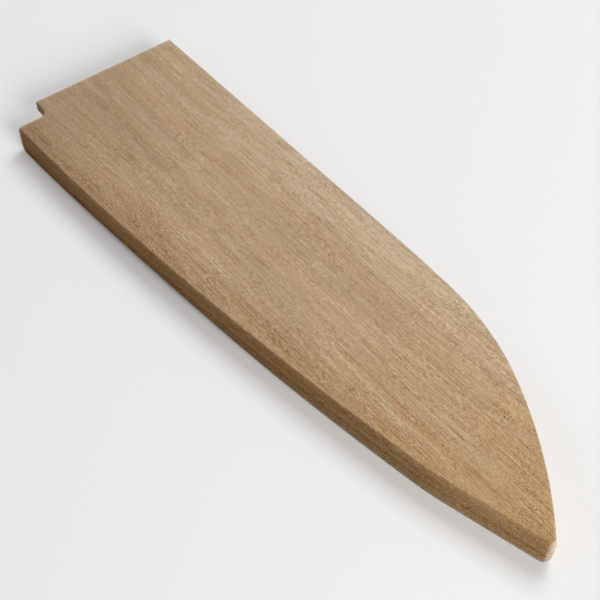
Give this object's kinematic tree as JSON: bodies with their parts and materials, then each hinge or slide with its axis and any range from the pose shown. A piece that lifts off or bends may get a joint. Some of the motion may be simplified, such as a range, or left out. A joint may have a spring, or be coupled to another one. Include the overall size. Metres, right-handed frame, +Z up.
{
  "type": "knife blade guard",
  "caption": "Flat wooden sheath for a broad kitchen knife, curved to a low nose, with a thin blade slot open at a stepped mouth.",
  "frame": {"origin": "centre of the bounding box at the face that rests on the table", "axes": "+X from the mouth to the nose, +Y towards the knife's spine, +Z up through the thickness"},
  "size_m": [0.19, 0.0568, 0.0092],
  "materials": {
    "board_wood": "planed and sanded, unfinished",
    "core_wood": "sanded, unfinished"
  },
  "bodies": {
    "root": {"face_board": "board_wood", "back_board": "board_wood", "spine_strip": "core_wood", "edge_strip": "core_wood", "nose_block": "core_wood"}
  },
  "joints": []
}
